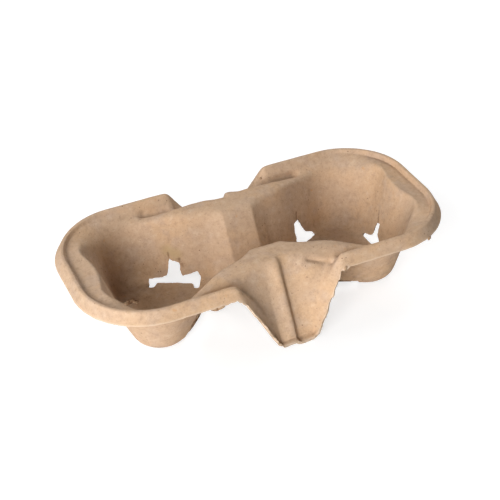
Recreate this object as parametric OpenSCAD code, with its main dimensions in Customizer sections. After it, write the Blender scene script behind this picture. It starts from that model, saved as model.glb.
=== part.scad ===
// Two-cup carrier in moulded paper pulp: one sheet of even wall, standing on the table at z = 0.
// The long axis is X, the middle of the base is the origin and the rim is at the top.
// The sheet is a loft: a section with rounded corners stands on each of a ring of lines that
// run outwards from the middle line of the carrier to the trimmed edge.

/* [Rim] */
// Length over the crest of the rim
length = 201.6; // [188:0.2:225]
// Width over the crest of the rim
width = 97.6; // [92:0.2:110]
// Plan radius of the rim's corners
corner = 36; // [28:0.5:42]
// Height of the crest over the table
height = 42; // [38:0.5:56]
// Drop of the flange below the crest
flange_drop = 6.3; // [4:0.1:12]
// How far the flange flares out
flange_flare = 4; // [2:0.1:6]
// Wall of the sheet
sheet = 2; // [1.4:0.1:2.2]

/* [Wells] */
// Distance of a well's axis from the middle
well_x = 52; // [48:0.5:58]
// Distance of a pocket's axis from the well's axis
pocket_out = 20.5; // [18:0.5:23]
// Radius of a pocket at the floor
pocket_r = 12.3; // [10:0.1:14]
// Angle of the outer pockets from the long axis
pocket_angle = 62; // [56:1:66]
// Growth of a pocket's radius from the floor to its shoulder
pocket_flare = 9.3; // [6:0.1:11]
// Depth of a pocket's shoulder below the crest
shoulder = 9; // [7:0.5:13]
// Distance of the end bulge's crest from the well's axis
end_bulge = 35.5; // [33:0.1:37]
// Plan bow of the end bulge's crest
end_bow = 0.0115; // [0.008:0.0005:0.015]

/* [Humps] */
// Depth of a hump's top below the crest
hump_drop = 2.2; // [1:0.1:4]
// Inner edge of a hump's top at the middle
hump_in = 18.8; // [16:0.1:21]
// Outer edge of a hump's top
hump_out = 35.5; // [33:0.1:38]
// Direction that a hump's cup face looks in, from the long axis
hump_angle = 114; // [110:0.5:118]
// Distance of a hump's cup face from the well's axis at the top
hump_face = 34.8; // [33.5:0.1:36]
// Height of the saddle between the wells
saddle = 11; // [8:0.5:16]
// Depth of the crease between a hump and a rim tab, below the crest
crease = 7.5; // [4:0.1:10]

/* [Legs] */
// Reach of a leg's foot from the long axis
leg_reach = 56.5; // [55:0.1:60]
// Lip at the foot of a leg
leg_lip = 2.8; // [1.5:0.1:4]
// Half width of a leg's foot
leg_foot = 9.5; // [7:0.5:11]
// Half width of the notch between the rim's tabs
notch = 28.5; // [27:0.5:31]
// Slant of a tab's end, from the crest to the edge
tab_slant = 1; // [0:0.1:3]
// Moulding step on the middle line, on each side of the mean surface
step = 1.1; // [0.4:0.1:1.4]
// How far a leg's sides stand out from the scoop between them
scoop = 1.8; // [0.5:0.1:2.5]

/* [Slots] */
// Length of the bar of a T-slot
bar_length = 28.6; // [20:0.2:30]
// Height of the bar of a T-slot over the table
bar_top = 6.8; // [5.5:0.1:9]
// Distance of the bar's inner side from the well's axis
bar_in = 21.8; // [20:0.1:24]
// How far the bar turns in at its ends, beside the tongue of the floor
bar_turn = 3; // [1:0.1:5]
// Height of the slit of a T-slot over the table
slit_top = 15.8; // [13:0.1:20]
// Width of the slit at its foot
slit_width = 5.2; // [3:0.1:7]

/* [Hidden] */
strips = 15;
fans = 11;
fan_pitch = 0.62;
tab_soft = 0.08;
shoulder_z = height - shoulder;
hump_z = height - hump_drop;
rim_x = length / 2 - corner;
rim_y = width / 2 - corner;
lip_x = well_x - 1.25 * pocket_out - pocket_r;
rim_posts = [for (sx = [-1, 1], sy = [-1, 1]) [sx * rim_x - well_x, sy * rim_y]];
pockets = [for (a = [-1, 1]) pocket_out * [cos(pocket_angle), a * sin(pocket_angle)]];
well_posts = concat(pockets, [[-1.25 * pocket_out, 0]]);
slot_angles = [0, 118, -118];

function mix(a, b, s) = a + (b - a) * s;
function ease(a, b, x) = let (t = min(1, max(0, (x - a) / (b - a)))) t * t * (3 - 2 * t);
function soft_max(a, b, r) = max(a, b) + r * ln(1 + exp(-abs(a - b) / r));
function unit(v) = v / max(norm(v), 0.000001);

// How far it is from o along d to the outline that wraps round posts of radius r
function reach(o, d, posts, r) =
    min([for (f = [0:4:356]) let (n = [cos(f), sin(f)], q = n * d)
        if (q > 0.05) (max([for (p = posts) p * n]) + r - n * o) / q]);

// Share of the rim's tab in a section across the waist: none on a leg's foot, all past the notch
function tab_share(u, end) =
    -soft_max(-pow(max(0, (u - leg_foot) / (end - leg_foot)), 1.35), -1, tab_soft);

// How far it is from o along d to the crest of the end bulge, which is bowed in plan
function bulge_reach(d) =
    let (k = d[0] * d[0] - 4 * end_bow * end_bulge * d[1] * d[1])
    k > 0 ? 2 * end_bulge / (d[0] + sqrt(k)) : length;

// The lines of one quarter: across the waist first, then round the well's axis.
// Each is its start from the well's axis, its direction and its place along the rim.
first_strips = [0, step];
strip_x = concat(first_strips, [for (k = [1:strips]) mix(step, well_x, pow(k / (strips + 1), 1.15))]);
quarter = concat(
    [for (x = strip_x) [[x - well_x, 0], [0, 1], x]],
    [for (k = [0:fans]) let (a = 90 * (1 - k / fans))
        [[0, 0], [cos(a), sin(a)], well_x + (90 - a) * fan_pitch]]);

// The corners of the section on a line, each with its distance out, height and rounding:
// middle, floor, wall, wall top, hump or shelf, crease, both sides of the crest, edge
function corners(ln) =
    let (o = ln[0], d = ln[1], u = ln[2], v = u - well_x,
        face = [cos(hump_angle), sin(hump_angle)],
        crest = reach(o, d, rim_posts, corner),
        edge = reach(o, d, rim_posts, corner + flange_flare),
        face_r = soft_max((hump_face - face * o) / max(0.3, face * d), hump_in, 0.4),
        floor_r = max(3 + 0.7 * min(6, face_r - hump_in), reach(o, d, well_posts, pocket_r)),
        wall_r = max(8, reach(o, d, well_posts, pocket_r + pocket_flare)),
        shelf_r = -soft_max(-bulge_reach(d), 10 - crest, 1.2),
        ridge_z = mix(hump_z, shoulder_z + 2, ease(26, 54, u)),
        low = mix(saddle, sheet, ease(lip_x - 6, lip_x + 3, u)),
        rim = [[crest - 1.6, height, 1.2], [crest + 1.6, height, 2.1], [edge, height - flange_drop, 0]],
        leg = [[face_r, hump_z, 4], [hump_out, hump_z + 0.4, 4],
            [mix(hump_out, leg_reach, 0.5), mix(hump_z, sheet + 1.8, 0.5), 6],
            [mix(hump_out, leg_reach, 0.8), mix(hump_z, sheet + 1.8, 0.8), 3],
            [leg_reach, sheet + 1.8, 2.5], [leg_reach + leg_lip, sheet + 0.2, 0]],
        tab = concat([[face_r, ridge_z - 0.3, 4],
            [mix(max(hump_out, face_r + 5), face_r + 5, ease(28, 46, u)), ridge_z - 0.5, 3],
            [crest - 7, height - crease, 3]], rim),
        pocket = concat([[wall_r, shoulder_z, 11],
            [mix(wall_r, crest - 2.2, 0.5), mix(shoulder_z, height, 0.53), 4],
            [mix(wall_r, crest - 2.2, 0.85), height - 1.6, 2]], rim),
        bulge = concat([[shelf_r, height - 1.6, 4.5],
            [mix(shelf_r, crest - 4.6, 0.6), height - 1.8, 3],
            [crest - 4.6, height - 2.6, 1.6]], rim),
        waist = [for (k = [0:5]) mix(leg[k], tab[k], tab_share(u, notch - (k == 5 ? tab_slant : 0)))],
        lobe = mix(pocket, bulge, ease(24, 40, v)),
        top = mix(waist, lobe, ease(-8, 10, v)))
    concat([[0, low, 0], [floor_r, low, 6],
        [mix(floor_r, top[0][0], 0.5), mix(low, top[0][1], 0.5), 5]], top);

// Each inner corner becomes a short parabola, with more points where it turns more.
// Two corners that are close share the run between them. A point goes with its direction.
corner_points = [0, 4, 2, 4, 3, 3, 3, 3];
function flat(c) = [c[0], c[1]];
function share(run, a, b) = 0.98 * run * a[2] / (a[2] + b[2]);
function rounded(c) =
    let (e = len(c) - 1)
    concat([[flat(c[0]), [1, 0]]],
        [for (i = [1:e - 1])
            let (b = flat(c[i]), p = flat(c[i - 1]) - b, q = flat(c[i + 1]) - b,
                f = min(c[i][2], share(norm(p), c[i], c[i - 1]), share(norm(q), c[i], c[i + 1])),
                n = corner_points[i] - 1)
            for (k = [0:n]) let (t = k / n)
                [b + f * ((1 - t) * (1 - t) * unit(p) + t * t * unit(q)),
                    unit(t * unit(q) - (1 - t) * unit(p))]],
        [[flat(c[e]), unit(flat(c[e]) - flat(c[e - 1]))]]);

quarter_rounded = [for (ln = quarter) rounded(corners(ln))];
function stand(d, p) = [d[0] * p[0], d[1] * p[0], p[1]];
sections = [for (k = [0:len(quarter) - 1]) [for (p = quarter_rounded[k])
    [well_x + quarter[k][0][0], 0, 0] + stand(quarter[k][1], p[0])]];
slopes = [for (k = [0:len(quarter) - 1]) [for (p = quarter_rounded[k]) stand(quarter[k][1], p[1])]];

// The ring of lines round the whole carrier: the four quarters, every other one run backwards
last = len(quarter) - 1;
ring = concat(
    [for (k = [0:last]) [1, 1, k]], [for (k = [last - 1:-1:0]) [1, -1, k]],
    [for (k = [1:last]) [-1, -1, k]], [for (k = [last - 1:-1:1]) [-1, 1, k]]);
lines = len(ring);
rows = len(sections[0]);
waist_lines = len(strip_x);
function turned(r, p) = [r[0] * p[0], r[1] * p[1], p[2]];
mean = [for (r = ring) [for (p = sections[r[2]]) turned(r, p)]];

// Across the middle line the sheet steps up on one side and down on the other, and a leg is scooped
function lift(r, p) =
    let (hand = r[0] * r[1], x = abs(p[0]), y = abs(p[1]))
    hand * step * ease(0, step, x) * (1 - ease(3, hand > 0 ? 10 : 14, x))
            * ease(hump_out - 5, hump_out + 1, y)
        + scoop * ease(4, 2 * leg_foot, x) * (1 - ease(2 * leg_foot, notch, x))
            * ease(hump_out - 2, hump_out + 6, y);
function normal(i, j) =
    let (along = mean[(i + 1) % lines][j] - mean[(i + lines - 1) % lines][j])
    unit(cross(along, turned(ring[i], slopes[ring[i][2]][j])));
function on_table(p) = [p[0], p[1], max(0, p[2])];

// Points of the middle line, then of the ring, on the upper side and on the lower side
spine = [for (k = [-waist_lines:waist_lines])
    let (p = sections[min(abs(k), waist_lines)][0]) [sign(k) * p[0], 0, p[2]]];
normals = [for (i = [0:lines - 1]) [for (j = [1:rows - 1]) normal(i, j)]];
upper = [for (i = [0:lines - 1], j = [1:rows - 1])
    mean[i][j] + lift(ring[i], mean[i][j]) * normals[i][j - 1]];
lower = [for (k = [0:len(upper) - 1])
    on_table(upper[k] - sheet * normals[floor(k / (rows - 1))][k % (rows - 1)])];
spine_low = [for (p = spine) on_table(p - [0, 0, sheet])];
half = len(spine) + len(upper);

function spine_at(i) = waist_lines + ring[i % lines][0] * min(ring[i % lines][2], waist_lines);
function ring_at(i, j) = len(spine) + (i % lines) * (rows - 1) + j - 1;
function flip(f) = [for (k = [len(f) - 1:-1:0]) f[k] + half];

skin = concat(
    [for (i = [0:lines - 1]) [spine_at(i), ring_at(i, 1), ring_at(i + 1, 1)]],
    [for (i = [0:lines - 1]) if (spine_at(i) != spine_at(i + 1))
        [spine_at(i), ring_at(i + 1, 1), spine_at(i + 1)]],
    [for (i = [0:lines - 1], j = [1:rows - 2]) [ring_at(i, j), ring_at(i, j + 1), ring_at(i + 1, j + 1)]],
    [for (i = [0:lines - 1], j = [1:rows - 2]) [ring_at(i, j), ring_at(i + 1, j + 1), ring_at(i + 1, j)]]);
trim = [for (i = [0:lines - 1]) let (a = ring_at(i, rows - 1), b = ring_at(i + 1, rows - 1))
    each [[a, a + half, b + half], [a, b + half, b]]];

module sheet_form() {
    polyhedron(points = concat(spine, upper, spine_low, lower),
        faces = concat(skin, [for (s = skin) flip(s)], trim));
}

// One T-slot at the foot of a cup face: a bar along the floor's edge that turns in at its ends,
// round a tongue of the floor, and a slit up the wall
module slot_cut() {
    end_r = 2.6;
    reach_out = bar_in + 10;
    ends = bar_length / 2 - end_r;
    hull()
        for (x = [bar_in + end_r, reach_out], y = [-1, 1] * ends)
            translate([x, y, -1]) cylinder(r = end_r, h = bar_top + 1, $fn = 12);
    for (y = [-1, 1] * ends)
        hull()
            for (x = [bar_in + end_r - bar_turn, reach_out - end_r])
                translate([x, y, -1]) cylinder(r = end_r, h = bar_top + 1, $fn = 12);
    hull() {
        translate([bar_in - 2, 0, bar_top - 1])
            rotate([0, 90, 0]) cylinder(d = slit_width, h = 14, $fn = 10);
        translate([bar_in - 2, 0, slit_top - slit_width * 0.4])
            rotate([0, 90, 0]) cylinder(d = slit_width * 0.8, h = 14, $fn = 10);
    }
}

module carrier() {
    color("BurlyWood") difference() {
        sheet_form();
        for (side = [0, 180], a = slot_angles)
            rotate([0, 0, side]) translate([well_x, 0, 0]) rotate([0, 0, a]) slot_cut();
    }
}

carrier();
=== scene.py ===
import math

import bmesh
import bpy
import numpy as np
from mathutils import Matrix, Vector


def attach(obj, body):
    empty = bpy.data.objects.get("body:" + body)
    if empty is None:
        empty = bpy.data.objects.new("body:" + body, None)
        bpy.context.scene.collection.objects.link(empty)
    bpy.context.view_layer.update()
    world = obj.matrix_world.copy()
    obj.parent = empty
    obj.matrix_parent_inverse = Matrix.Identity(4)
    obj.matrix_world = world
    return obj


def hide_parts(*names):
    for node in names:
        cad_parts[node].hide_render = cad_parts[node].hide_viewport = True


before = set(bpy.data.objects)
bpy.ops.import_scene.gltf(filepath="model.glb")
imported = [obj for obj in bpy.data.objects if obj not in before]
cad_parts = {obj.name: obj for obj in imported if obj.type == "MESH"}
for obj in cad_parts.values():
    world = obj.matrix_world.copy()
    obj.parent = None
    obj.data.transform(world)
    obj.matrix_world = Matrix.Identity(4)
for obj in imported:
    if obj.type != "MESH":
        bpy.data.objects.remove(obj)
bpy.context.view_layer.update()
mm = 0.001
print("frame:", sorted(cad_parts))

# the moulded sheet in mm, by the same rule as in the part's source
form = {
    "length": 201.6, "width": 97.6, "corner": 36, "height": 42, "sheet": 2,
    "flangeDrop": 6.3, "flangeFlare": 4,
    "beadIn": 1.4, "beadOut": 0.5, "trough": 2.6,        # from the rim's crest line, the trough inside it too
    "wellX": 52, "pocketOut": 20.5, "pocketR": 12.3, "pocketAngle": 62, "pocketFlare": 9.3, "shoulder": 9,
    "valleyPocket": 1.25,                                # the pocket at the valley is this much further out
    "endBulge": 35.5, "endBow": 0.0115,
    "humpDrop": 2.2, "humpIn": 18.8, "humpOut": 35.5, "humpAngle": 114, "humpFace": 34.8,
    "saddle": 11, "crease": 7.5,
    "legReach": 56.5, "legLip": 2.8, "legFoot": 9.5, "notch": 28.5, "tabSlant": 1, "tabSoft": 0.08,
    "step": 1.1, "scoop": 1.8,
    "cupBow": 1.2, "bowFrom": 8, "bowLong": 24,          # hollow of a hump's cup face, next to its flat panel
    "ridgeFade": (26, 54), "ridgeJoin": (28, 46),        # where one form runs into the next, from the middle
    "lobeFrom": (-8, 10), "bulgeFrom": (21, 36), "bulgeCrisp": (30, 42),   # the same, from the well's axis
    "floorFrom": (-6, 3),                                # the same, from the lip of the floor
    "strips": 47, "fans": 38, "fanPitch": 0.62,          # lines of one quarter
    "closer": ((7.4, 10.6, 5), (26, 31, 8)),             # more lines where the form turns quickly
    "runPoints": (6, 5, 8, 6, 16, 8, 4, 6),              # points along the straight runs of a section
    "bendPoints": (0, 7, 5, 8, 7, 6, 6, 7),              # points round its corners
    "bendShare": 0.75,                                   # most of a straight run that roundings may take
}
shoulderZ = form["height"] - form["shoulder"]
humpZ = form["height"] - form["humpDrop"]
valleyOut = form["valleyPocket"] * form["pocketOut"]
lipX = form["wellX"] - valleyOut - form["pocketR"]
rimX, rimY = (form[k] / 2 - form["corner"] for k in ("length", "width"))
rimPosts = [(sx * rimX - form["wellX"], sy * rimY) for sx in (-1, 1) for sy in (-1, 1)]
pocketTurn = math.radians(form["pocketAngle"])
pocketX, pocketY = (form["pocketOut"] * part(pocketTurn) for part in (math.cos, math.sin))
wellPosts = [(pocketX, -pocketY), (pocketX, pocketY), (-valleyOut, 0)]


def mix(a, b, s):
    return a + (b - a) * s


def ease(a, b, x):
    t = np.clip((x - a) / (b - a), 0, 1)
    return t * t * (3 - 2 * t)


def softMax(a, b, r):
    return max(a, b) + r * math.log(1 + math.exp(-abs(a - b) / r))


def unit(v):
    return v / max(np.linalg.norm(v), 1e-9)


lookRound = np.radians(np.arange(0, 360, 1.0))
lookRound = np.stack([np.cos(lookRound), np.sin(lookRound)], 1)


def reach(o, d, posts, r):                               # how far to the outline that wraps the posts
    q = lookRound @ d
    far = (lookRound @ np.array(posts).T).max(1) + r - lookRound @ o
    return float((far[q > 0.05] / q[q > 0.05]).min())


def bulgeReach(d):                                       # how far to the bowed crest of the end bulge
    k = d[0] ** 2 - 4 * form["endBow"] * form["endBulge"] * d[1] ** 2
    return 2 * form["endBulge"] / (d[0] + math.sqrt(k)) if k > 0 else form["length"]


def tabShare(u, end):                                    # none on a leg's foot, all past the notch
    s = max(0, (u - form["legFoot"]) / (end - form["legFoot"])) ** 1.35
    return -softMax(-s, -1, form["tabSoft"])


def sectionCorners(o, d, u):                             # distance out, height and rounding of each corner
    v = u - form["wellX"]
    turn = math.radians(form["humpAngle"])
    face = np.array([math.cos(turn), math.sin(turn)])
    crest = reach(o, d, rimPosts, form["corner"])
    edge = reach(o, d, rimPosts, form["corner"] + form["flangeFlare"])
    faceR = (form["humpFace"] - face @ o) / max(0.3, face @ d)
    t = np.clip(((o + d * faceR) @ (-face[1], face[0]) - form["bowFrom"]) / form["bowLong"], 0, 1)
    bow = 6.75 * t * t * (1 - t)                         # at most 1
    faceR = softMax(faceR + form["cupBow"] * bow, form["humpIn"], 0.2)
    floorR = max(3 + 0.7 * min(6, faceR - form["humpIn"]), reach(o, d, wellPosts, form["pocketR"]))
    wallR = max(8, reach(o, d, wellPosts, form["pocketR"] + form["pocketFlare"]))
    shelfR = -softMax(-bulgeReach(d), 10 - crest, 1.2)
    ridgeZ = mix(humpZ, shoulderZ + 2, ease(*form["ridgeFade"], u))
    low = mix(form["saddle"], form["sheet"], ease(*(lipX + s for s in form["floorFrom"]), u))
    h, out, foot, legZ = form["height"], form["humpOut"], form["legReach"], form["sheet"] + 1.8
    trough = crest - form["trough"]
    # bead's inner and outer edge, trimmed edge
    rim = [(crest - form["beadIn"], h, 0.6), (crest + form["beadOut"], h, 0.9),
           (edge, h - form["flangeDrop"], 0)]
    # hump's inner and outer edge, two bends of the leg, foot, lip
    leg = [(faceR, humpZ, 4), (out, humpZ + 0.4, 4),
           (mix(out, foot, 0.5), mix(humpZ, legZ, 0.5), 6), (mix(out, foot, 0.8), mix(humpZ, legZ, 0.8), 3),
           (foot, legZ, 1.0), (foot + form["legLip"], form["sheet"] + 0.9, 0)]
    # ridge's inner and outer edge, crease, rim
    ridgeR = mix(max(out, faceR + 5), faceR + 5, ease(*form["ridgeJoin"], u))
    tab = [(faceR, ridgeZ - 0.3, 4), (ridgeR, ridgeZ - 0.5, 3), (crest - 7, h - form["crease"], 3)] + rim
    # shoulder, slope, trough, rim
    pocket = [(wallR, shoulderZ, 11), (mix(wallR, crest - 2.2, 0.5), mix(shoulderZ, h, 0.53), 4),
              (trough, h - 1.9, 0.9)] + rim
    # crest of the bulge, shelf, trough, rim
    bulge = [(shelfR, h - 1.4, mix(7, 1.6, ease(*form["bulgeCrisp"], v))),
             (mix(shelfR, trough, 0.6), h - 2.3, 3), (crest - 2.4, h - 2.9, 0.6)] + rim
    leg, tab, pocket, bulge = (np.array(c, float) for c in (leg, tab, pocket, bulge))
    share, edgeShare = tabShare(u, form["notch"]), tabShare(u, form["notch"] - form["tabSlant"])
    waist = np.concatenate([mix(leg[:5], tab[:5], share), mix(leg[5:], tab[5:], edgeShare)])
    lobe = mix(pocket, bulge, ease(*form["bulgeFrom"], v))
    top = mix(waist, lobe, ease(*form["lobeFrom"], v))
    # floor, foot of the wall, its bend
    inner = np.array([(0, low, 0), (floorR, low, 6),
                      (mix(floorR, top[0][0], 0.5), mix(low, top[0][1], 0.5), 5)])
    return np.concatenate([inner, top])


def sectionPoints(c):                                    # the section with its corners rounded, evenly filled
    bends = []
    for i in range(1, len(c) - 1):
        b, p, q = c[i, :2], c[i - 1, :2] - c[i, :2], c[i + 1, :2] - c[i, :2]
        share = [form["bendShare"] * np.linalg.norm(w) * c[i, 2] / (c[i, 2] + c[k, 2])
                 for w, k in ((p, i - 1), (q, i + 1))]
        f = min(c[i, 2], *share)
        t = np.linspace(0, 1, form["bendPoints"][i])[:, None]
        bends.append(b + f * ((1 - t) ** 2 * unit(p) + t ** 2 * unit(q)))
    stops = [c[:1, :2]] + bends + [c[-1:, :2]]
    points = [stops[0]]
    for i in range(len(stops) - 1):
        s = np.linspace(0, 1, form["runPoints"][i] + 2)[1:-1, None]
        points += [mix(stops[i][-1], stops[i + 1][0], s), stops[i + 1]]
    return np.concatenate(points)


def quarterLines():                                      # across the waist first, then round the well's axis
    places = [np.linspace(0, form["step"], 5), np.linspace(form["step"], form["wellX"], form["strips"])[1:-1]]
    places += [np.linspace(*span) for span in form["closer"]]
    lines = [(np.array([x - form["wellX"], 0.0]), np.array([0.0, 1.0]), x)
             for x in np.unique(np.concatenate(places))]
    for k in range(form["fans"] + 1):
        a = math.radians(90 * (1 - k / form["fans"]))
        lines.append((np.zeros(2), np.array([math.cos(a), math.sin(a)]),
                      form["wellX"] + (90 - math.degrees(a)) * form["fanPitch"]))
    return lines


def allRound(quarter):                                   # four quarters, every other one run backwards
    return [quarter, quarter[-2::-1], quarter[1:], quarter[-2:0:-1]]


def normals(grid):
    n = np.cross(np.roll(grid, -1, 0) - np.roll(grid, 1, 0), np.gradient(grid, axis=1))
    return n / np.maximum(np.linalg.norm(n, axis=2, keepdims=True), 1e-9)


def mouldSurface():                                      # the sheet's upper face as a grid of lines and rows
    quarter = []
    for o, d, u in quarterLines():
        s = sectionPoints(sectionCorners(o, d, u))
        quarter.append(np.stack([form["wellX"] + o[0] + d[0] * s[:, 0], d[1] * s[:, 0], s[:, 1]], 1))
    turns = [np.array(s) for s in ((1, 1, 1), (1, -1, 1), (-1, -1, 1), (-1, 1, 1))]
    grid = np.concatenate([part * turn for part, turn in zip(allRound(np.array(quarter)), turns)])
    x, y = np.abs(grid[..., 0]), np.abs(grid[..., 1])
    hand = np.sign(np.round(grid[..., 0] * grid[..., 1], 6))
    out, foot, notch = form["humpOut"], form["legFoot"], form["notch"]
    # the moulding step along the middle, up on one hand and down on the other, then the legs' scooped sides
    lift = hand * form["step"] * ease(0, form["step"], x) * ease(out - 5, out + 1, y)
    lift *= 1 - ease(3, np.where(hand > 0, 10, 14), x)
    lift += form["scoop"] * ease(4, 2 * foot, x) * (1 - ease(2 * foot, notch, x)) * ease(out - 2, out + 6, y)
    return grid + lift[..., None] * normals(grid)


# marks of the mould and of wear: soft ridges from one point to another, with a width and a height in mm
marks = {
    "floorCurb": ((-67, 23.5, 2), (-54, 19.6, 2), 1.0, 0.9),
    "tabCrease": ((16, -38.4, 37.1), (26.7, -42.8, 34.3), 1.2, -1.7),
    "tabHollow": ((28, 41.8, 34.6), (46, 42.2, 35.2), 2.2, -2.6),
    "tabValley": ((-46, 43.5, 35.9), (-33, 41.5, 34.6), 2.2, -1.8),
    "stepRidge": ((-2.7, -37.5, 38.3), (-2.4, -55.5, 7), 1.6, 0.5),
    "footCrease": ((-9.5, -56.6, 3.9), (9.5, -56.6, 3.9), 0.9, -0.9),
}


def relief(grid):                                        # every mark is there again half a turn round
    lift = np.zeros(grid.shape[:2])
    for a, b, width, height in marks.values():
        for s in (1, -1):
            a3, b3 = (np.array(p) * (s, s, 1) for p in (a, b))
            t = np.clip((grid - a3) @ (b3 - a3) / ((b3 - a3) @ (b3 - a3)), 0, 1)
            away = np.linalg.norm(grid - a3 - t[..., None] * (b3 - a3), axis=2)
            lift += height * np.exp(-(away / width) ** 2)
    return grid + lift[..., None] * normals(grid)


surface = relief(mouldSurface())
lineCount, rowCount = surface.shape[:2]
span = np.linalg.norm(np.diff(surface, axis=1), axis=2)

# mm to the trimmed edge, how torn that edge is from 0 to 1, and which way it points
toEdge = np.concatenate([np.cumsum(span[:, ::-1], 1)[:, ::-1], np.zeros((lineCount, 1))], 1)
along = np.concatenate(allRound(np.array([u for _, _, u in quarterLines()])))
foot, notch, tornLeast = form["legFoot"], form["notch"], 0.12
# the sides of the legs are torn, and half as much a stretch of the flange in front of the left well
torn = tornLeast + (1 - tornLeast) * ease(foot - 3, foot + 3, along) * (1 - ease(notch + 2, notch + 8, along))
leftFront = (surface[:, -1, 0] < 0) & (surface[:, -1, 1] < 0)
torn = np.maximum(torn, 0.5 * leftFront * ease(notch, notch + 3, along) * (1 - ease(44, 52, along)))
outward = surface[:, -1] - surface[:, -3]
outward /= np.linalg.norm(outward, axis=1, keepdims=True)
print("surface:", lineCount, "lines", rowCount, "rows")

bare = bpy.data.meshes.new("bareSheet")
index = np.arange(lineCount * rowCount).reshape(lineCount, rowCount)
after = np.roll(index, -1, 0)
faces = np.stack([index[:, :-1], index[:, 1:], after[:, 1:], after[:, :-1]], -1).reshape(-1, 4)
bare.from_pydata((surface.reshape(-1, 3) * mm).tolist(), [], faces.tolist())


def keepOnPoints(name, kind, field, values):
    layer = bare.attributes.new(name, kind, "POINT")
    layer.data.foreach_set(field, np.ascontiguousarray(values, np.float32).ravel())


keepOnPoints("toEdge", "FLOAT", "value", toEdge)
keepOnPoints("torn", "FLOAT", "value", np.repeat(torn[:, None], rowCount, 1))
keepOnPoints("outward", "FLOAT_VECTOR", "vector", np.repeat(outward[:, None, :], rowCount, 1))
work = bmesh.new()
work.from_mesh(bare)
bmesh.ops.remove_doubles(work, verts=work.verts, dist=1e-6)
bmesh.ops.recalc_face_normals(work, faces=work.faces)
if sum(f.normal.z * f.calc_area() for f in work.faces) < 0:
    bmesh.ops.reverse_faces(work, faces=work.faces)
work.to_mesh(bare)
work.free()
carrier = bpy.data.objects.new("pulpCarrier", bare)
bpy.context.scene.collection.objects.link(carrier)
print("bare sheet:", len(bare.vertices), "points")


class Node:                                              # a socket that takes part in sums
    def __init__(self, tree, socket):
        self.tree, self.socket = tree, socket

    def out(self, name):                                 # another output of the same node
        return Node(self.tree, self.socket.node.outputs[name])

    def sum(self, operation, *values):
        sockets = {f"i{k}": v for k, v in enumerate(values)}
        return makeNode(self.tree, "ShaderNodeMath", {"operation": operation}, **sockets)

    def __add__(self, other):
        return self.sum("ADD", self, other)

    def __radd__(self, other):
        return self.sum("ADD", other, self)

    def __sub__(self, other):
        return self.sum("SUBTRACT", self, other)

    def __rsub__(self, other):
        return self.sum("SUBTRACT", other, self)

    def __mul__(self, other):
        return self.sum("MULTIPLY", self, other)

    def __rmul__(self, other):
        return self.sum("MULTIPLY", other, self)

    def highest(self, other):
        return self.sum("MAXIMUM", self, other)

    def fade(self, a, b, low=0.0, high=1.0):             # a smooth step from a to b
        return makeNode(self.tree, "ShaderNodeMapRange", {"interpolation_type": "SMOOTHSTEP"},
                        Value=self, From_Min=a, From_Max=b, To_Min=low, To_Max=high)

    def vector(self, operation, **values):
        return makeNode(self.tree, "ShaderNodeVectorMath", {"operation": operation}, i0=self, **values)


def plug(tree, socket, value):
    if isinstance(value, Node):
        tree.links.new(value.socket, socket)
    else:
        socket.default_value = value


def makeNode(tree, kind, settings=None, out=0, **values):
    node = tree.nodes.new(kind)
    for key, value in (settings or {}).items():
        setattr(node, key, value)
    for key, value in values.items():
        if key[0] == "i" and key[1:].isdigit():
            socket = node.inputs[int(key[1:])]
        else:
            socket = next(s for s in node.inputs if s.name == key.replace("_", " ") and s.enabled)
        plug(tree, socket, value)
    return Node(tree, node.outputs[out]) if node.outputs else None


def newTree(name, inputs):                               # a geometry tree with named inputs
    tree = bpy.data.node_groups.new(name, "GeometryNodeTree")
    tree.interface.new_socket("Geometry", in_out="INPUT", socket_type="NodeSocketGeometry")
    tree.interface.new_socket("Geometry", in_out="OUTPUT", socket_type="NodeSocketGeometry")
    for label, kind in inputs.items():
        tree.interface.new_socket(label, in_out="INPUT", socket_type="NodeSocket" + kind)
    start = tree.nodes.new("NodeGroupInput")
    end = tree.nodes.new("NodeGroupOutput")
    return tree, {s.name: Node(tree, s) for s in start.outputs if s.name}, end


def bakeNodes(piece, tree, values):                      # runs the tree on the piece and keeps the plain mesh
    modifier = piece.modifiers.new(tree.name, "NODES")
    modifier.node_group = tree
    for item in tree.interface.items_tree:
        if item.in_out == "INPUT" and item.name in values:
            modifier[item.identifier] = values[item.name]
    graph = bpy.context.evaluated_depsgraph_get()
    mesh = bpy.data.meshes.new_from_object(piece.evaluated_get(graph), depsgraph=graph)
    piece.modifiers.remove(modifier)
    old = piece.data
    piece.data = mesh
    mesh.name = piece.name
    bpy.data.meshes.remove(old)
    print(piece.name + ":", len(mesh.vertices), "points", len(mesh.polygons), "faces",
          [m.name if m else None for m in mesh.materials])


# pulp: tan fibre with speckles, warm and grey clouds, rough
pulpLook = {
    "base": (0.50, 0.345, 0.23), "warm": (0.53, 0.35, 0.215), "grey": (0.45, 0.325, 0.24),
    "pale": (0.64, 0.49, 0.36), "dark": (0.24, 0.145, 0.085), "spot": (0.52, 0.28, 0.12),
    "raw": (0.66, 0.52, 0.39), "rawShade": (0.40, 0.28, 0.18),
    "tear": (0.50, 0.34, 0.21), "tearShade": (0.20, 0.11, 0.06), "stain": (0.45, 0.32, 0.16),
    "shake": 0.8,                                        # mm by which the tears' outlines wander
    # noise scales, and how rough the surface feels
    "clouds": 38, "blotch": 90, "mottle": 330, "grain": 900, "fibres": 260, "specks": 330, "spots": 230,
    "bump": 0.35, "rawBump": 0.7, "bumpDeep": 0.6 * mm,
}


def shaderTree(name):
    material = bpy.data.materials.new(name)
    material.use_nodes = True
    tree = material.node_tree
    tree.nodes.clear()
    return material, tree


def blendColour(tree, factor, a, b):
    colours = [c if isinstance(c, Node) else (*c, 1) for c in (a, b)]
    return makeNode(tree, "ShaderNodeMix", {"data_type": "RGBA"}, out=2,
                    i0=factor, i6=colours[0], i7=colours[1])


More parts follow.
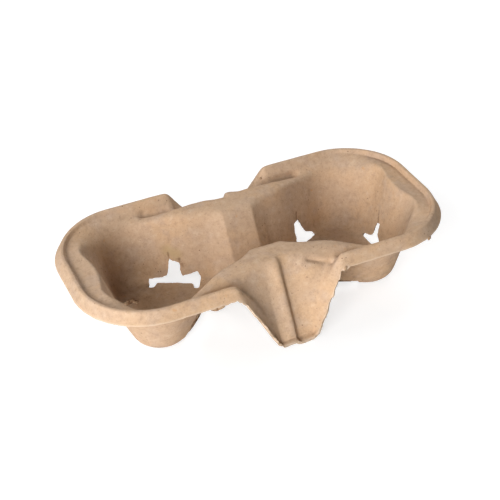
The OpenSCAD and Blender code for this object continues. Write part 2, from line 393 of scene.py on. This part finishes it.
def noiseMaker(tree):
    here = makeNode(tree, "ShaderNodeTexCoord", out="Object")

    def noise(scale, detail, rough=0.5, stretch=(1, 1, 1)):
        where = here
        if stretch != (1, 1, 1):
            where = makeNode(tree, "ShaderNodeMapping", Vector=here, Scale=stretch)
        return makeNode(tree, "ShaderNodeTexNoise", Vector=where, Scale=scale, Detail=detail, Roughness=rough)

    return here, noise


# brown tears at the tops of the slits and a stain beside one: from one point to another, with a width in mm
tears = {
    "leftSlit": ((-34.6, 22.4, 14.8), (-31.9, 20.4, 7.4), 1.5),
    "leftTop": ((-39.6, 26.1, 18.5), (-39.4, 25.6, 15.0), 0.9),
    "backTop": ((40.0, 27.0, 20.0), (38.9, 25.4, 15.2), 1.0),
    "endTop": ((81.2, 3.0, 22.0), (79.4, 0.4, 16.8), 1.0),
}
stainPlace = ((-40, 26.5, 20), (-35.5, 23.4, 17.5), 5.0)


def tearShare(tree, here, a, b, width):
    a, run = Vector(a) * mm, (Vector(b) - Vector(a)) * mm
    fromA = here.vector("SUBTRACT", i1=a)
    t = fromA.vector("DOT_PRODUCT", out="Value", i1=run / run.length_squared).highest(0.0)
    near = makeNode(tree, "ShaderNodeVectorMath", {"operation": "SCALE"},
                    i0=run, Scale=t.sum("MINIMUM", t, 1.0))
    return fromA.vector("SUBTRACT", i1=near).vector("LENGTH", out="Value").fade(width * mm, 0.1 * width * mm)


def pulpMaterial():
    material, tree = shaderTree("mouldedPulp")
    here, noise = noiseMaker(tree)
    clouds, blotch = noise(pulpLook["clouds"], 3), noise(pulpLook["blotch"], 4, 0.6)
    mottle, grain = noise(pulpLook["mottle"], 3, 0.6), noise(pulpLook["grain"], 3, 0.65)
    fibres = [noise(pulpLook["fibres"], 2, 0.6, s) for s in ((1, 5, 4), (5, 1, 4), (4, 5, 1))]
    speck = makeNode(tree, "ShaderNodeTexVoronoi", {"feature": "F1"}, Vector=here, Scale=pulpLook["specks"])
    edge = makeNode(tree, "ShaderNodeAttribute", {"attribute_name": "toEdge"}, out="Fac")
    colour = blendColour(tree, clouds.fade(0.38, 0.62), pulpLook["base"], pulpLook["warm"])
    colour = blendColour(tree, blotch.fade(0.45, 0.7) * 0.6, colour, pulpLook["grey"])
    colour = blendColour(tree, fibres[0].fade(0.6, 0.78) * 0.35, colour, pulpLook["pale"])
    colour = blendColour(tree, fibres[1].fade(0.6, 0.78) * 0.3, colour, pulpLook["dark"])
    colour = blendColour(tree, mottle.fade(0.5, 0.75) * 0.28, colour, pulpLook["dark"])
    colour = blendColour(tree, mottle.fade(0.5, 0.25) * 0.30, colour, pulpLook["pale"])
    colour = blendColour(tree, grain.fade(0.5, 0.8) * 0.4, colour, pulpLook["dark"])
    speckled = speck.fade(0.16, 0.08) * noise(60, 1).fade(0.52, 0.66)
    colour = blendColour(tree, speckled, colour, pulpLook["dark"])
    colour = blendColour(tree, noise(pulpLook["spots"], 1).fade(0.74, 0.82) * 0.5, colour, pulpLook["spot"])
    colour = blendColour(tree, edge.fade(1.2, 0.1) * 0.5, colour, pulpLook["raw"])   # at the trimmed edge
    shake = noise(500, 2).out("Color").vector("SCALE", Scale=pulpLook["shake"] * mm)
    shaken = here.vector("ADD", i1=shake).vector("SUBTRACT", i1=[pulpLook["shake"] / 2 * mm] * 3)
    tear = sum(tearShare(tree, shaken, *t) for t in tears.values())
    colour = blendColour(tree, tearShare(tree, shaken, *stainPlace) * 0.6, colour, pulpLook["stain"])
    colour = blendColour(tree, tear * mottle.fade(0.3, 0.5, 0.2, 0.8), colour, pulpLook["tearShade"])
    height = noise(420, 4, 0.6) * 0.6 + grain * 0.25 + fibres[0] * 0.3 + fibres[1] * 0.3 + fibres[2] * 0.2
    bump = makeNode(tree, "ShaderNodeBump", Strength=pulpLook["bump"], Distance=pulpLook["bumpDeep"],
                    Height=height)
    shader = makeNode(tree, "ShaderNodeBsdfPrincipled", Base_Color=colour, Normal=bump,
                      Roughness=grain.fade(0.2, 0.8, 0.82, 0.96), Specular_IOR_Level=0.2)
    makeNode(tree, "ShaderNodeOutputMaterial", Surface=shader)
    return material


def rawMaterial(name, light, shade):                     # broken pulp: clumped fibre, light and dark
    material, tree = shaderTree(name)
    _, noise = noiseMaker(tree)
    clump, fibre = noise(420, 3), noise(1100, 4, 0.6)
    colour = blendColour(tree, (clump * 0.6 + fibre * 0.4).fade(0.36, 0.62), pulpLook[shade], pulpLook[light])
    bump = makeNode(tree, "ShaderNodeBump", Strength=pulpLook["rawBump"], Distance=pulpLook["bumpDeep"],
                    Height=clump + fibre)
    shader = makeNode(tree, "ShaderNodeBsdfPrincipled", Base_Color=colour, Normal=bump, Roughness=0.95,
                      Specular_IOR_Level=0.1)
    makeNode(tree, "ShaderNodeOutputMaterial", Surface=shader)
    return material


pulp = pulpMaterial()
rawPulp = rawMaterial("rawPulp", "raw", "rawShade")
tornPulp = rawMaterial("tornPulp", "tear", "tearShade")
print("materials made")

# the T-slots round one well: seen from the well's axis, across is to the left, and up is from the table
slots = {
    "inner": 22.0, "depth": 16.0, "fine": 0.7,
    "wallOut": 22.6, "wallLean": 0.27, "flareDeep": 2.5,      # the wall's inner face, and a flare's depth
    "turnIn": 18.2, "turnWidth": 3.6, "floorCut": (-1, 4.2),
    "tongueRound": ((-1.8, 0.0), (-0.9, 0.4), (-0.3, 1.1), (0.2, 2.3), (4, 2.3)),
    "end": {
        "turn": 0, "ends": (10.2, -13.0), "leftArm": (8.0, 5.4), "rightArm": (9.4, 5.4),
        "slitFoot": (1.5, -2.4), "slitTop": ((1.0, 16.4), (-1.4, 16.8)), "turns": (1,), "flare": (1.9, 0.2)},
    "back": {
        "turn": 118, "ends": (13.5, -10.9), "leftArm": (5.0, 4.2), "rightArm": (6.6, 4.6),
        "slitFoot": (3.4, -3.2), "slitTop": ((1.6, 15.2), (-0.6, 15.6)), "turns": (0,), "flare": (0.2, 1.1)},
    "front": {
        "turn": -118, "ends": (12.6, -16.2), "leftArm": (5.4, 4.2), "rightArm": (5.5, 7.9),
        "slitFoot": (1.7, -5.4), "slitTop": ((0.6, 15.0), (-4.3, 12.7)), "turns": (0, 1), "flare": (0.2, 0.2)},
}

# the back slot half a turn round, in front of the left well, is torn out further, and the floor along a slant
tornFront = {
    "turn": 118, "ends": (14.5, -13.4), "leftArm": (13.5, 7.8), "rightArm": (16.0, 9.5),
    "slitFoot": (2.0, -8.4), "slitTop": ((-1.0, 19.5), (-5.0, 19.5)),
    "flare": (0.2, 0.2), "slant": (0.34, -6.0),          # mm inwards for each mm across, and where it starts
}


def slotOutline(s):                                      # across and up, from the left end over the slit
    (left, right), (nearL, farL), (nearR, farR) = s["ends"], s["leftArm"], s["rightArm"]
    (footL, footR), (topL, topR) = s["slitFoot"], s["slitTop"]
    leftSide = [(left, -1), (left, farL * 0.75), (left - 1.2, farL),
                (mix(left, footL, 0.6), mix(farL, nearL, 0.35)), (footL + 0.9, nearL), (footL, nearL + 1.3)]
    rightSide = [(footR, nearR + 1.3), (footR - 0.9, nearR), (mix(right, footR, 0.45), mix(farR, nearR, 0.4)),
                 (right + 1.8, farR), (right, farR * 0.65), (right, -1)]
    return leftSide + [topL, topR] + rightSide


def prism(work, outline, levels, place):                # an outline with fine edges, drawn through the levels
    fine = []
    for a, b in zip(np.array(outline), np.roll(np.array(outline), -1, 0)):
        n = max(1, int(np.linalg.norm(b - a) / slots["fine"]))
        fine += [mix(a, b, k / n) for k in range(n)]
    rings = [[work.verts.new(place(p, d)) for p in fine] for d in levels]
    for low, high in zip(rings, rings[1:]):
        for k in range(len(fine)):
            m = (k + 1) % len(fine)
            work.faces.new((low[k], low[m], high[m], high[k]))
    work.faces.new(rings[0][::-1])
    work.faces.new(rings[-1])


def cutterPiece(name, draw, chosen):                     # the cutters round the well on the right
    work = bmesh.new()
    for s in chosen:
        turned = Matrix.Rotation(math.radians(s["turn"]), 4, "Z")
        draw(work, s, Matrix.Translation((form["wellX"] * mm, 0, 0)) @ turned)
    bmesh.ops.recalc_face_normals(work, faces=work.faces)
    mesh = bpy.data.meshes.new(name)
    work.to_mesh(mesh)
    work.free()
    mesh.materials.append(tornPulp)
    layer = mesh.attributes.new("torn", "FLOAT", "POINT")
    layer.data.foreach_set("value", np.full(len(mesh.vertices), tornLeast, np.float32))
    piece = bpy.data.objects.new(name, mesh)
    bpy.context.scene.collection.objects.link(piece)
    return piece


def drawWallCut(work, s, stand):                         # torn edges are thin, so the cut flares in the wall
    middle = sum(s["slitFoot"]) / 2
    slant, straightAt = s.get("slant", (0.0, 0.0))

    def place(p, d):
        d = d - slant * (p[0] - straightAt)
        into = min(slots["flareDeep"], max(0.0, d - slots["wallOut"] - slots["wallLean"] * p[1]))
        flare = s["flare"][0] if p[0] > middle else -s["flare"][1]
        return stand @ (Vector((d, p[0] + flare * into, p[1])) * mm)

    prism(work, slotOutline(s), slots["inner"] + np.linspace(0, slots["depth"], 25), place)


def drawTurnIns(work, s, stand):                         # the bar turns in at its ends, beside the tongue
    r = slots["turnWidth"] / 2
    for end in (s["ends"][k] for k in s["turns"]):
        side = math.copysign(1, end)
        bend = [(slots["turnIn"] + r - r * math.cos(t), r * math.sin(t)) for t in np.linspace(1.57, -1.57, 9)]
        bend += [(slots["inner"] + out, -r - wide) for out, wide in slots["tongueRound"]]
        bend.append((slots["inner"] + 4, r))
        prism(work, [(d, end - side * (r - w)) for d, w in bend], np.linspace(*slots["floorCut"], 8),
              lambda p, d: stand @ (Vector((p[0], p[1], d)) * mm))


# the shell: uneven swell of the pulp, the wall's thickness, ragged edges and the torn T-slots
shellSizes = {
    "Sheet": form["sheet"] * mm,
    "Swell": 0.30 * mm, "Swell Size": 32.0, "Ripple": 0.09 * mm, "Ripple Size": 170.0,
    "Ragged": 3.0 * mm, "Ragged Size": 420.0, "Thin": 0.45,   # a torn edge loses this share of its wall
    "Jag": 1.1 * mm, "Jag Size": 330.0, "Seed": 7.0, "Crisp": math.radians(48),
}


def aboveTable(tree):                                    # every point where it is, but none below the table
    place = makeNode(tree, "ShaderNodeSeparateXYZ", Vector=makeNode(tree, "GeometryNodeInputPosition"))
    return makeNode(tree, "ShaderNodeCombineXYZ", X=place, Y=place.out("Y"), Z=place.out("Z").highest(0.0))


def shellTree():
    tree, inputs, end = newTree("pulpShell", {
        **dict.fromkeys(shellSizes, "Float"),
        **dict.fromkeys(("Wall Cutters", "Turn Cutters", "Torn Cutter"), "Object"),
        **dict.fromkeys(("Pulp", "Raw"), "Material")})

    def wobble(size, detail):
        return makeNode(tree, "ShaderNodeTexNoise", {"noise_dimensions": "4D"},
                        W=inputs["Seed"], Scale=size, Detail=detail) - 0.5

    def named(name, kind="FLOAT"):
        return makeNode(tree, "GeometryNodeInputNamedAttribute", {"data_type": kind}, Name=name)

    normal = makeNode(tree, "GeometryNodeInputNormal")
    ripple = wobble(inputs["Ripple Size"], 2.0) * inputs["Ripple"]
    swell = (wobble(inputs["Swell Size"], 2.0) * inputs["Swell"] + ripple) * 2.0
    ragged = wobble(inputs["Ragged Size"], 3.0) * inputs["Ragged"] * 2.0
    ragged = ragged * named("torn") * named("toEdge").fade(3.0, 0.0)
    thin = named("torn") * named("toEdge").fade(2.5, 0.0) * inputs["Thin"]
    frayed = named("outward", "FLOAT_VECTOR").vector("SCALE", Scale=ragged)
    offset = normal.vector("SCALE", Scale=swell).vector("ADD", i1=frayed)
    upper = makeNode(tree, "GeometryNodeSetPosition", Geometry=inputs["Geometry"], Offset=offset)
    upper = makeNode(tree, "GeometryNodeSetMaterial", Geometry=upper, Material=inputs["Pulp"])
    down = normal.vector("SCALE", Scale=inputs["Sheet"] * (thin - 1.0))
    lower = makeNode(tree, "GeometryNodeExtrudeMesh", {"mode": "FACES"},
                     Mesh=upper, Individual=False, Offset_Scale=1.0, Offset=down)
    sides = lower.out("Side")
    lower = makeNode(tree, "GeometryNodeSetMaterial", Geometry=lower, Selection=sides, Material=inputs["Raw"])
    lower = makeNode(tree, "GeometryNodeStoreNamedAttribute", {"data_type": "BOOLEAN", "domain": "FACE"},
                     Geometry=lower, Name="broken", Value=sides)
    lower = makeNode(tree, "GeometryNodeFlipFaces", Mesh=lower)
    joined = makeNode(tree, "GeometryNodeJoinGeometry", Geometry=lower)
    tree.links.new(upper.socket, joined.socket.node.inputs[0])
    shell = makeNode(tree, "GeometryNodeMergeByDistance", Geometry=joined, Distance=1e-6)
    shell = makeNode(tree, "GeometryNodeSetPosition", Geometry=shell, Position=aboveTable(tree))
    jag = makeNode(tree, "ShaderNodeTexNoise", {"noise_dimensions": "4D"}, out="Color",
                   W=inputs["Seed"], Scale=inputs["Jag Size"], Detail=3.0)
    jag = jag.vector("SUBTRACT", i1=(0.5, 0.5, 0.5)).vector("SCALE", Scale=inputs["Jag"] * 2.0)

    def atWells(cutters, first=0, count=2):              # 0 is the right well, 1 the left one
        cutters = makeNode(tree, "GeometryNodeObjectInfo", {"transform_space": "ORIGINAL"}, out="Geometry",
                           Object=cutters)
        well = makeNode(tree, "GeometryNodeInputIndex") + first
        spin = makeNode(tree, "ShaderNodeCombineXYZ", Z=well * math.pi)
        points = makeNode(tree, "GeometryNodePoints", Count=count)
        cutters = makeNode(tree, "GeometryNodeInstanceOnPoints", Points=points, Instance=cutters,
                           Rotation=spin)
        cutters = makeNode(tree, "GeometryNodeRealizeInstances", Geometry=cutters)
        cutters = makeNode(tree, "GeometryNodeSetPosition", Geometry=cutters, Offset=jag)
        return makeNode(tree, "GeometryNodeStoreNamedAttribute", {"data_type": "BOOLEAN", "domain": "FACE"},
                        Geometry=cutters, Name="broken", Value=True)

    shell = makeNode(tree, "GeometryNodeMeshBoolean", {"operation": "DIFFERENCE", "solver": "EXACT"},
                     Mesh_1=shell, Mesh_2=atWells(inputs["Turn Cutters"]))
    for others in (atWells(inputs["Wall Cutters"]), atWells(inputs["Torn Cutter"], 1, 1)):
        tree.links.new(others.socket, shell.socket.node.inputs["Mesh 2"])
    shell = makeNode(tree, "GeometryNodeRealizeInstances", Geometry=shell)
    shell = makeNode(tree, "GeometryNodeSetShadeSmooth", Geometry=shell)
    angle = makeNode(tree, "GeometryNodeInputMeshEdgeAngle")
    crisp = angle.sum("GREATER_THAN", angle, inputs["Crisp"])
    shell = makeNode(tree, "GeometryNodeSetShadeSmooth", {"domain": "EDGE"},
                     Geometry=shell, Shade_Smooth=False, Selection=crisp)
    tree.links.new(shell.socket, end.inputs[0])
    return tree


bare.materials.append(pulp)
allSlots = [slots[key] for key in ("end", "back", "front")]
cutters = {
    "Wall Cutters": cutterPiece("wallCutters", drawWallCut, allSlots),
    "Turn Cutters": cutterPiece("turnCutters", drawTurnIns, allSlots),
    "Torn Cutter": cutterPiece("tornCutter", drawWallCut, [tornFront]),
}
bakeNodes(carrier, shellTree(), {**shellSizes, **cutters, "Pulp": pulp, "Raw": rawPulp})
for cutter in cutters.values():
    bpy.data.objects.remove(cutter)

# loose fibres on the broken edges
fibreSizes = {
    "Density": 1.6e6, "Length": 1.5 * mm, "Thick": 0.035 * mm, "Lean": 1.0, "Seed": 3,
}


def fibreTree():
    tree, inputs, end = newTree("edgeFibres", {
        **dict.fromkeys(("Density", "Length", "Thick", "Lean"), "Float"),
        "Seed": "Int", "Carrier": "Object", "Raw": "Material"})

    def random(low, high, number, kind="FLOAT"):
        out = 0 if kind == "FLOAT_VECTOR" else 1
        return makeNode(tree, "FunctionNodeRandomValue", {"data_type": kind}, out=out,
                        Min=low, Max=high, Seed=inputs["Seed"] + number)

    shell = makeNode(tree, "GeometryNodeObjectInfo", out="Geometry", Object=inputs["Carrier"])
    broken = makeNode(tree, "GeometryNodeInputNamedAttribute", {"data_type": "BOOLEAN"}, Name="broken")
    torn = makeNode(tree, "GeometryNodeInputNamedAttribute", {"data_type": "FLOAT"}, Name="torn")
    points = makeNode(tree, "GeometryNodeDistributePointsOnFaces", Mesh=shell, Selection=broken,
                      Density=inputs["Density"] * torn, Seed=inputs["Seed"])
    strand = makeNode(tree, "GeometryNodeCurveQuadraticBezier", Resolution=5,
                      Start=(0, 0, -0.15), Middle=(0.05, 0, 0.6), End=(0.55, 0.2, 0.85))
    fibres = makeNode(tree, "GeometryNodeInstanceOnPoints", Points=points, Instance=strand,
                      Rotation=points.out("Rotation"), Scale=random(0.2, 1.0, 1) * inputs["Length"])
    lean = random((-1, -1, -3.14), (1, 1, 3.14), 2, "FLOAT_VECTOR").vector("SCALE", Scale=inputs["Lean"])
    fibres = makeNode(tree, "GeometryNodeRotateInstances", Instances=fibres, Rotation=lean)
    fibres = makeNode(tree, "GeometryNodeRealizeInstances", Geometry=fibres)
    profile = makeNode(tree, "GeometryNodeCurvePrimitiveCircle", Resolution=3, Radius=inputs["Thick"])
    fibres = makeNode(tree, "GeometryNodeCurveToMesh", Curve=fibres, Profile_Curve=profile)
    fibres = makeNode(tree, "GeometryNodeSetPosition", Geometry=fibres, Position=aboveTable(tree))
    fibres = makeNode(tree, "GeometryNodeSetMaterial", Geometry=fibres, Material=inputs["Raw"])
    tree.links.new(fibres.socket, end.inputs[0])
    return tree


def emptyPiece(name):
    piece = bpy.data.objects.new(name, bpy.data.meshes.new(name))
    bpy.context.scene.collection.objects.link(piece)
    return piece


edgeFibres = emptyPiece("edgeFibres")
bakeNodes(edgeFibres, fibreTree(), {**fibreSizes, "Carrier": carrier, "Raw": rawPulp})

# torn scraps that hang on: place, half sizes and turn in degrees
scraps = {
    "slotLump": ((-68.6, 13.8, 2.6), (3.4, 1.5, 1.3), 20),
    "slotCrumb": ((-65.4, 12.6, 2.4), (1.9, 1.1, 0.9), -30),
    "flangeFlap": ((-39.2, -51.7, 34.6), (2.0, 0.6, 1.3), 8),
    "cornerFlap": ((30.6, -52.3, 35.4), (1.6, 0.7, 1.3), 30),
    "endFlap": ((82.2, -49.1, 35.4), (1.6, 0.6, 0.9), 25),
    "tabCrumb": ((27.4, 46.2, 36.4), (1.5, 0.8, 0.6), 15),
}
scrapSizes = {"Rough": 0.4 * mm, "Rough Size": 520.0, "Seed": 5.0}


def scrapTree():
    tree, inputs, end = newTree("tornScraps", {**dict.fromkeys(scrapSizes, "Float"), "Torn": "Material"})

    def named(name):
        return makeNode(tree, "GeometryNodeInputNamedAttribute", {"data_type": "FLOAT_VECTOR"}, Name=name)

    lump = makeNode(tree, "GeometryNodeMeshIcoSphere", Radius=1.0, Subdivisions=4)
    points = makeNode(tree, "GeometryNodeMeshToPoints", Mesh=inputs["Geometry"])
    lumps = makeNode(tree, "GeometryNodeInstanceOnPoints", Points=points, Instance=lump,
                     Rotation=named("turn"), Scale=named("size"))
    lumps = makeNode(tree, "GeometryNodeRealizeInstances", Geometry=lumps)
    rough = makeNode(tree, "ShaderNodeTexNoise", {"noise_dimensions": "4D"}, out="Color",
                     W=inputs["Seed"], Scale=inputs["Rough Size"], Detail=3.0)
    rough = rough.vector("SUBTRACT", i1=(0.5, 0.5, 0.5)).vector("SCALE", Scale=inputs["Rough"] * 2.0)
    lumps = makeNode(tree, "GeometryNodeSetPosition", Geometry=lumps, Offset=rough)
    lumps = makeNode(tree, "GeometryNodeSetMaterial", Geometry=lumps, Material=inputs["Torn"])
    tree.links.new(makeNode(tree, "GeometryNodeSetShadeSmooth", Geometry=lumps).socket, end.inputs[0])
    return tree


tornScraps = emptyPiece("tornScraps")
tornScraps.data.from_pydata([Vector(place) * mm for place, _, _ in scraps.values()], [], [])
for name, values in (("size", [Vector(size) * mm for _, size, _ in scraps.values()]),
                     ("turn", [(0, 0, math.radians(turn)) for _, _, turn in scraps.values()])):
    layer = tornScraps.data.attributes.new(name, "FLOAT_VECTOR", "POINT")
    layer.data.foreach_set("vector", np.array(values, np.float32).ravel())
bakeNodes(tornScraps, scrapTree(), {**scrapSizes, "Torn": tornPulp})

for piece in (carrier, edgeFibres, tornScraps):
    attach(piece, "root")
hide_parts("carrier")

# floor, light and camera; a lamp has its turn and height in degrees and its power
studio = {
    "floor": 0.9, "floorSeen": 0.4, "floorGlow": 0.72, "world": 0.035, "lampAway": 1.3, "lampSize": 0.7,
    "lamps": {"keyLamp": (225, 12, 15.8), "frontLamp": (225, 35, 7.9),
              "leftLamp": (165, 35, 6.4), "backLamp": (45, 35, 10.2)},
    "azimuth": -22.417, "elevation": 35.542, "roll": -3.0, "away": 653.4,
    "picture": 500, "focal": 1213.94,                    # in pixels
    "aim": (250.284, 222.46), "aimZ": 42.0,              # where the point over the origin falls in the picture
}


def floorMaterial():                                     # matte, and lifted to white where it is looked at
    material, tree = shaderTree("paleFloor")
    path = makeNode(tree, "ShaderNodeLightPath", out="Is Camera Ray")
    seen = path.highest(path.out("Is Glossy Ray")).highest(path.out("Is Transmission Ray"))
    greys = [(*[studio[k]] * 3, 1) for k in ("floor", "floorSeen")]
    matte, dimmed = (makeNode(tree, "ShaderNodeBsdfPrincipled", Base_Color=g, Roughness=0.9) for g in greys)
    glow = makeNode(tree, "ShaderNodeEmission", Strength=studio["floorGlow"])
    lifted = makeNode(tree, "ShaderNodeAddShader", i0=dimmed, i1=glow)
    shader = makeNode(tree, "ShaderNodeMixShader", i0=seen, i1=matte, i2=lifted)
    makeNode(tree, "ShaderNodeOutputMaterial", Surface=shader)
    return material


floorMesh = bpy.data.meshes.new("floor")
floorMesh.from_pydata([(-4, -4, 0), (4, -4, 0), (4, 4, 0), (-4, 4, 0)], [], [(0, 1, 2, 3)])
floorMesh.materials.append(floorMaterial())
floor = bpy.data.objects.new("floor", floorMesh)
bpy.context.scene.collection.objects.link(floor)

world = bpy.data.worlds.new("studio")
bpy.context.scene.world = world
world.use_nodes = True
sky = world.node_tree.nodes["Background"].inputs
sky["Color"].default_value = (1, 1, 1, 1)
sky["Strength"].default_value = studio["world"]


def softLamp(name, turn, height, power):
    turn, height = math.radians(turn), math.radians(height)
    toward = Vector((math.cos(turn) * math.cos(height), math.sin(turn) * math.cos(height), math.sin(height)))
    data = bpy.data.lights.new(name, "AREA")
    data.energy, data.size = power, studio["lampSize"]
    lamp = bpy.data.objects.new(name, data)
    lamp.location = toward * studio["lampAway"] + Vector((0, 0, 0.03))
    lamp.rotation_euler = toward.to_track_quat("Z", "Y").to_euler()
    bpy.context.scene.collection.objects.link(lamp)


for name, setting in studio["lamps"].items():
    softLamp(name, *setting)

az, el, roll = (math.radians(studio[k]) for k in ("azimuth", "elevation", "roll"))
back = Vector((math.sin(az) * math.cos(el), -math.cos(az) * math.cos(el), math.sin(el)))
right = Vector((math.cos(az), math.sin(az), 0))
upward = back.cross(right)
across = math.cos(roll) * right + math.sin(roll) * upward
upright = -math.sin(roll) * right + math.cos(roll) * upward
shiftX, shiftY = ((a - studio["picture"] / 2) / studio["focal"] * studio["away"] for a in studio["aim"])
spot = Vector((0, 0, studio["aimZ"])) - shiftX * across + shiftY * upright + studio["away"] * back
lens = bpy.data.cameras.new("camera")
lens.sensor_width = 36
lens.lens = studio["focal"] * lens.sensor_width / studio["picture"]
lens.clip_start, lens.clip_end = 0.01, 20
camera = bpy.data.objects.new("camera", lens)
camera.matrix_world = Matrix((across, upright, back)).transposed().to_4x4()
camera.location = spot * mm
bpy.context.scene.collection.objects.link(camera)
bpy.context.scene.camera = camera
bpy.context.scene.view_settings.view_transform = "Standard"
print("studio ready")
